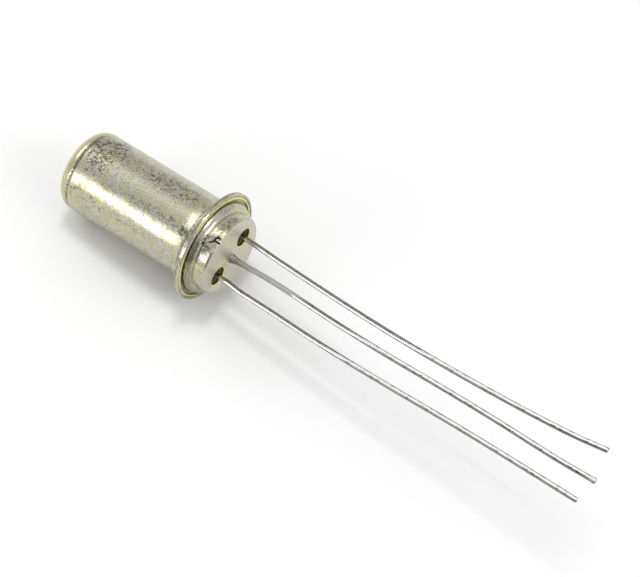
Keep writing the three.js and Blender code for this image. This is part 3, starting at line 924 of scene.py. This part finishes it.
# olive-brown weld bloom together with painted shade, in the groove and on the shoulder's slope
bloom_and_shade = patches(place, "Out", shaker, BLOOM_AND_SHADE_PATCHES, ragged=0.9)
bloom_and_shade = times(bloom_and_shade, ramp(place["Along"], *BLOOM_AND_SHADE_END))
smudge = patches(place, "Along", shaker, WALL_PATCHES, ragged=1.2)
smudge = times(smudge, ramp(place["Out"], *WALL_END))
slow_turn = times(reckon("ABSOLUTE", place["Turn"]), TURN_SQUEEZE)
around = put("CombineXYZ", {"X": place["Out"], "Y": place["Along"], "Z": slow_turn})
streaks = ramp(noise(around.outputs[0], *STREAKS), *STREAK_EDGE)
bloom_and_shade = times(bloom_and_shade, times_plus(streaks, IN_STREAKS, BETWEEN_STREAKS))
# painted shade: a dark line along the shallow dish of the rim
dish_shade = patches(place, "Out", shaker, [DISH_SHADE_PATCH], ragged=0.3)
tarnish_and_shade = strongest(
    times_plus(bloom_and_shade, BLOOM_AND_SHADE_SPECKS, smudge), dish_shade, ramp(place["Along"], *BACK_TARNISH))
# painted highlight: beside the crack the shoulder and the wall take the face's pale colour
pale = patches(place, "Out", shaker, PALE_HIGHLIGHT_PATCHES, ragged=1.2)
pale = strongest(pale, on_face)
plating = use(old_plating, {
    "Spot": place["Spot"], "Clean": blend(pale, CLEAN, FACE),
    "Stain": blend(pale, STAIN, FACE_YELLOWED),
    "Dark tone": BLOOM_AND_SHADE, "Speck": SPECK, "Size": 0.8, "Darkened": tarnish_and_shade,
    **{name: ramp(on_face, 0, 1, *ends) for name, ends in FACE_EFFECTS.items()}})

# %% Painted yellow highlights on the edges, and the crack on the header
YELLOW_TINT_AND_HIGHLIGHT = (0.8, 0.75, 0.17)
EDGE_SHARE = 0.75
RIM_HIGHLIGHT = (5.03, 0.13, 0, ALL_ROUND, 1)
CREST_HIGHLIGHT = (4.13, 0.1, 20, 60, 0.8)
YELLOW_WALL = ((1.1, 0.7, -62, 5, 0.5), (1.45, 0.4, -10, 9, 0.3))
LIP_HIGHLIGHT_WIDTH = 0.34
LIP_HIGHLIGHT_SHIFT = (0, 0.1, -22)
CRACK_DARK = (0.04, 0.035, 0.03)
CRACK = ((0.58, 4.3, -30.5), (0.72, 4.05, -27), (1.18, 3.95, -22), (1.22, 3.95, -19.5),
         (1.75, 3.82, -19.8))
CRACK_HOOK = ((1.2, 3.95, -19), (1.26, 3.95, -16), (1.34, 3.95, -13.8), (1.6, 3.93, -13.6))
CRACK_WIDTH, CRACK_VARIES = 0.13, (0.3, 0.7, 0.75, 1.3)
CRACK_DEPTH, CRACK_DULLS = 0.04, 0.3
DENT = ((0.95, 4.0, -26), (1.6, 3.95, -22))
DENT_WIDTH, DENT_VARIES = 0.8, (0.3, 0.7, 0.85, 1.15)
DENT_DEPTH = 0.15
HEADER_DENTS, HEADER_RIPPLE, HEADER_GRAIN, FACE_UNEVEN = 0.05, 0.022, 0.003, 0.2
RIM_FADING, RIM_FADING_EDGE = (1.6, 2), (0.4, 0.54, 0.3, 1.25)
LIP_HIGHLIGHT_EDGE = (0.12, 0.42, 0, 1.25)
CREST_START = (0.5, 0.58)

# painted highlight: yellow lines along the rim's inner ridge, the shoulder's crest and the left
# lips of the holes; the wall patches are a yellow tint
rim_highlight = patches(place, "Out", shaker, [RIM_HIGHLIGHT], ragged=0.5)
fading = ramp(noise(place["Spot"], *RIM_FADING), *RIM_FADING_EDGE)
crest_highlight = patches(place, "Out", shaker, [CREST_HIGHLIGHT], ragged=0.9)
crest_highlight = times(crest_highlight, ramp(place["Along"], *CREST_START))
wall = patches(place, "Along", shaker, YELLOW_WALL, ragged=1.6)
yellow_areas = strongest(wall, times(rim_highlight, fading), crest_highlight)
for turn in FOOT_TURNS.values():
    start = case_spot(boss_height, LEAD_SPACING, turn) + case_spot(*LIP_HIGHLIGHT_SHIFT)
    lip_highlight = stroke(place, start, start + Vector((1, 0, 0)), HOLE_RADIUS + LIP_HIGHLIGHT_WIDTH)
    yellow_areas = strongest(yellow_areas, ramp(lip_highlight, *LIP_HIGHLIGHT_EDGE))
crack_width = times(ramp(shaker, *CRACK_VARIES), CRACK_WIDTH)
cracks = [stroke(place, case_spot(*start), case_spot(*end), crack_width)
          for line in (CRACK, CRACK_HOOK) for start, end in zip(line, line[1:])]
cracked = strongest(*cracks)
color = blend(bloom_and_shade, plating["Color"], BLOOM_AND_SHADE)
color = blend(times(yellow_areas, EDGE_SHARE), color, YELLOW_TINT_AND_HIGHLIGHT)
color = blend(cracked, color, CRACK_DARK)
dullness = times_plus(cracked, CRACK_DULLS, plating["Roughness"])
uneven = ramp(on_face, 0, 1, 1.0, FACE_UNEVEN)
dents, ripple = times(uneven, HEADER_DENTS), times(uneven, HEADER_RIPPLE)
height = unevenness(place, dents, ripple, HEADER_GRAIN)
dent_width = times(ramp(shaker, *DENT_VARIES), DENT_WIDTH)
dent = stroke(place, case_spot(*DENT[0]), case_spot(*DENT[1]), dent_width)
height = times_plus(times(dent, uneven), -DENT_DEPTH, height)
height = times_plus(cracked, -CRACK_DEPTH, height)
shade(header_plating, color, dullness, height)
tell(header_plating)

# %% [markdown]
# ### Wire
# A wire is pulled through a die, which leaves fine lines along it, and then dipped in tin. The
# lines follow the wire round its bends, so their noise is laid out on the straight places
# that each wire's vertices carry. Those are squeezed along the wire, which draws the noise
# out. A painted highlight runs along the tin in one long stripe that wanders round the wire
# and turns chalk white towards the tip. Beside it the tin is painted dark as shade, and
# nicked. The middle lead is bare steel for its first seven millimetres or so, matt and sooty
# at the weld, until the tin begins along a slanting edge.

# %% Group: drawn wire
LINES, NICKS = (0.11, 3, 0.6), (0.3, 4, 0.7)
LINE_SQUEEZE, NICK_SQUEEZE = (0.12, 1, 1), (0.6, 1, 1)
LINE_EDGES, NICK_EDGES = (0.35, 0.65), (0.5, 0.66)
LINE_HEIGHT, NICK_HEIGHT = 0.001, 0.003

drawn_wire, given, result = new_group(
    "drawn_wire", {"place": ["Straight"]}, {"value": ["Lines", "Nicks", "Height"]})
for_lines = vectors("MULTIPLY", given["Straight"], LINE_SQUEEZE)
lines = noise(for_lines, *LINES)
for_nicks = vectors("MULTIPLY", given["Straight"], NICK_SQUEEZE)
nicks = noise(for_nicks, *NICKS)
height = times_plus(nicks, NICK_HEIGHT, times(lines, LINE_HEIGHT))
feed(result["Lines"], ramp(lines, *LINE_EDGES))
feed(result["Nicks"], ramp(nicks, *NICK_EDGES))
feed(result["Height"], height)
tell(drawn_wire)

# %% Finish the outer leads
# painted highlight colours for the light stripe, and painted shade colours for the rest of the
# wire
HIGHLIGHT_TIN = (0.8, 0.79, 0.75)
HIGHLIGHT_TIN_LINE = (0.62, 0.61, 0.57)
CHALK_WHITE_HIGHLIGHT = (0.92, 0.92, 0.9)
SHADED_TIN = (0.24, 0.237, 0.222)
SHADED_TIN_NICK = (0.11, 0.105, 0.09)
SHADED_TIN_OLIVE = (0.27, 0.25, 0.14)
OLIVE_REACH = (boss_height + 0.2, boss_height + 9)
OLIVE_SHARE = (0.8, 0.1)
CHALK_HIGHLIGHT_SHARE = (0.2, 0.7)
HIGHLIGHT_TURNS = (-54, -6)
HIGHLIGHT_EDGE = (24, 33)
HIGHLIGHT_RAGGED = 14
HIGHLIGHT_DULL = 0.13
SHADED_DULLER = 0.1
# where along the axis the painted highlight stripe starts and stops wandering
HIGHLIGHT_MOVES = {"emitter": (18, 24), "base": (13, 19), "collector": (12, 18)}


def tinned(name, moves):
    """A tinned wire's material, places, look, drawn lines, and turn from its painted highlight
    stripe.
    """
    material, place = new_finish(name)
    straight = put("Attribute", {}, material.node_tree, attribute_name="straight_wire")
    straight = straight.outputs["Vector"]
    drawn = use(drawn_wire, {"Straight": straight})
    _, beside, above = put("SeparateXYZ", {"Vector": straight}).outputs
    round_wire = reckon("DEGREES", reckon("ARCTAN2", beside, above))
    # painted highlight: a light tin stripe on one side of the wire that turns chalk white towards
    # the tip, with painted shade on the rest
    highlight_turn = ramp(place["Along"], *moves, *HIGHLIGHT_TURNS)
    away = reckon("ABSOLUTE", degrees_between(round_wire, highlight_turn))
    ragged = times_plus(drawn["Nicks"], HIGHLIGHT_RAGGED, away)
    shaded_side = ramp(ragged, *HIGHLIGHT_EDGE)
    olive = ramp(place["Along"], *OLIVE_REACH, *OLIVE_SHARE)
    shaded_color = blend(olive, SHADED_TIN, SHADED_TIN_OLIVE)
    shaded_color = blend(drawn["Nicks"], shaded_color, SHADED_TIN_NICK)
    chalk_highlight = ramp(place["Along"], *moves, *CHALK_HIGHLIGHT_SHARE)
    highlight_color = blend(chalk_highlight, blend(drawn["Lines"], HIGHLIGHT_TIN, HIGHLIGHT_TIN_LINE), CHALK_WHITE_HIGHLIGHT)
    look = {
        "color": blend(shaded_side, highlight_color, shaded_color), "height": drawn["Height"],
        "roughness": times_plus(shaded_side, SHADED_DULLER, HIGHLIGHT_DULL),
        "metallic": ramp(shaded_side, 0, 1, reckon("SUBTRACT", 1.0, chalk_highlight), 1.0)}
    return material, place, look, drawn["Lines"], away


tin = {}
for name in ("emitter", "collector"):
    tin[name], _, look, *_ = tinned("tin_" + name, HIGHLIGHT_MOVES[name])
    shade(tin[name], **look)
tell(tin["collector"])

# %% Finish the welded lead
BARE = (0.4, 0.385, 0.36)
BARE_OLIVE = (0.26, 0.235, 0.16)
BARE_DULL, LINES_DULL = 0.5, 0.1
BARE_LENGTH = 7.0
TIN_SLANT = 0.022
TIN_RAGGED = 0.5
TIN_EDGE = (boss_height + BARE_LENGTH - 0.2, boss_height + BARE_LENGTH + 0.2)
WELD_REACH = (boss_height + 0.3, boss_height + 1.6, 1, 0)
LUMPS, LUMP_HEIGHT = (0.3, 3), 0.06
SMOKE_EDGE = (0.42, 0.62, 0.0, 0.7)

tin["base"], place, look, lines, away = tinned("tin_base", HIGHLIGHT_MOVES["base"])
tin_start = times_plus(away, -TIN_SLANT, place["Along"])
with_tin = ramp(times_plus(lines, TIN_RAGGED, tin_start), *TIN_EDGE)
foot = ramp(place["Along"], *WELD_REACH)
lumps = noise(place["Spot"], *LUMPS)
smoked = times(foot, ramp(lumps, *SMOKE_EDGE))
look["color"] = blend(with_tin, blend(smoked, BARE, BARE_OLIVE), look["color"])
bare_dull = times_plus(lines, LINES_DULL, BARE_DULL)
look["roughness"] = put("Mix", {0: with_tin, 2: bare_dull, 3: look["roughness"]}).outputs[0]
look["height"] = times_plus(times(lumps, foot), LUMP_HEIGHT, look["height"])
shade(tin["base"], **look)
tell(tin["base"])

# %% [markdown]
# ### Glass
# Sealing glass is nearly black, with a violet cast. It shines, but under a lens it has small
# bubbles and a slightly wavy skin.

# %% Finish the seals
GLASS_DARK = (0.006, 0.004, 0.009)
GLASS_PALE = (0.05, 0.042, 0.065)
GLASS_IOR = 1.54
BUBBLES, BUBBLE_EDGE, BUBBLE_DULL, BUBBLE_PALE = (0.12, 2), (0.56, 0.7), (0.12, 0.3), 0.7
DEPTHS, DEPTH_EDGE = (0.7, 2), (0.4, 0.65, 0, 0.5)
GLASS_DENTS, GLASS_RIPPLE, GLASS_GRAIN = 0.02, 0.01, 0.002

seal_glass, place = new_finish("seal_glass")
bubbles = ramp(noise(place["Spot"], *BUBBLES), *BUBBLE_EDGE)
depth = ramp(noise(place["Spot"], *DEPTHS), *DEPTH_EDGE)
pale = strongest(times(bubbles, BUBBLE_PALE), depth)
color = blend(pale, GLASS_DARK, GLASS_PALE)
waves = unevenness(place, GLASS_DENTS, GLASS_RIPPLE, GLASS_GRAIN)
shade(seal_glass, color, ramp(bubbles, 0, 1, *BUBBLE_DULL), waves, metallic=0, ior=GLASS_IOR)
tell(seal_glass)

# %% [markdown]
# ## Inside the can
# Nobody sees the crystal until the can is sawn open. Its pieces have their right shapes in
# the frame, so they only get finishes: a nickel-plated holder, the etched grey wafer of
# germanium, two pellets of alloy that froze on it, and two soft wires.

# %% Finish the inside
LOOK = ("Clean", "Stain", "Dark tone", "Size", "Stained", "Darkened", "Polish")
INSIDE = {
    # each value of LOOK in turn, and then dents and grain
    "nickel_plate": ((0.6, 0.57, 0.5), (0.5, 0.46, 0.34), (0.3, 0.27, 0.2),
                     0.6, 0.5, 0.25, 0.3, 0.01, 0.002),
    "germanium": ((0.3, 0.31, 0.33), (0.24, 0.25, 0.29), (0.17, 0.17, 0.2),
                  0.25, 0.8, 0.4, 0.16, 0.002, 0.003),
    "alloy": ((0.5, 0.51, 0.53), (0.38, 0.38, 0.4), (0.25, 0.25, 0.27),
              0.3, 0.8, 0.5, 0.38, 0.03, 0.004),
    "link_wire": ((0.58, 0.56, 0.52), (0.47, 0.44, 0.37), (0.3, 0.28, 0.23),
                  0.2, 0.6, 0.3, 0.26, 0.004, 0.002),
}

inside = {}
for name, (*look, dents, grain) in INSIDE.items():
    inside[name], place = new_finish(name)
    plating = use(old_plating, {
        "Spot": place["Spot"], "Speck": SPECK, "Specked": 0.3, "Freckled": 0.12,
        **dict(zip(LOOK, look))})
    height = unevenness(place, dents, dents / 4, grain)
    shade(inside[name], plating["Color"], plating["Roughness"], height)
print("inside finishes:", ", ".join(inside))

# %% [markdown]
# ## Putting it together
# Each new piece stands for one solid of the frame and hides it. All of them ride on the one
# body that the transistor is. The crystal's solids stay, and only their material changes.

# %% Put the pieces on the body
fits = {"cap": (can, can_plating), "header": (header, header_plating)}
fits.update({"bead_" + name: (seal, seal_glass) for name, seal in seals.items()})
fits.update({"lead_" + name: (lead, tin[name]) for name, lead in leads.items()})
slots = {subpart["node"]: subpart["material_slot"] for subpart in frame["record"]["subparts"]}
for node, (piece, material) in fits.items():
    piece.data.materials.clear()
    piece.data.materials.append(material)
    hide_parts(node)
    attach(piece, "root")
for node in sorted(set(nodes) - set(fits)):
    nodes[node].data.materials.clear()
    nodes[node].data.materials.append(inside[slots[node]])
    print(node, "is finished as", slots[node])

# %% [markdown]
# ## The size, once more
# The fine pieces have to stay inside the box of the plain ones, so that both models fit the
# same places. Both boxes are noted down side by side.

# %% Size and finish
visual_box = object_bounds()
for corner, visual_corner in zip(cad_box, visual_box):
    print("frame", [round(value / MM, 3) for value in corner],
          "pieces", [round(value / MM, 3) for value in visual_corner])
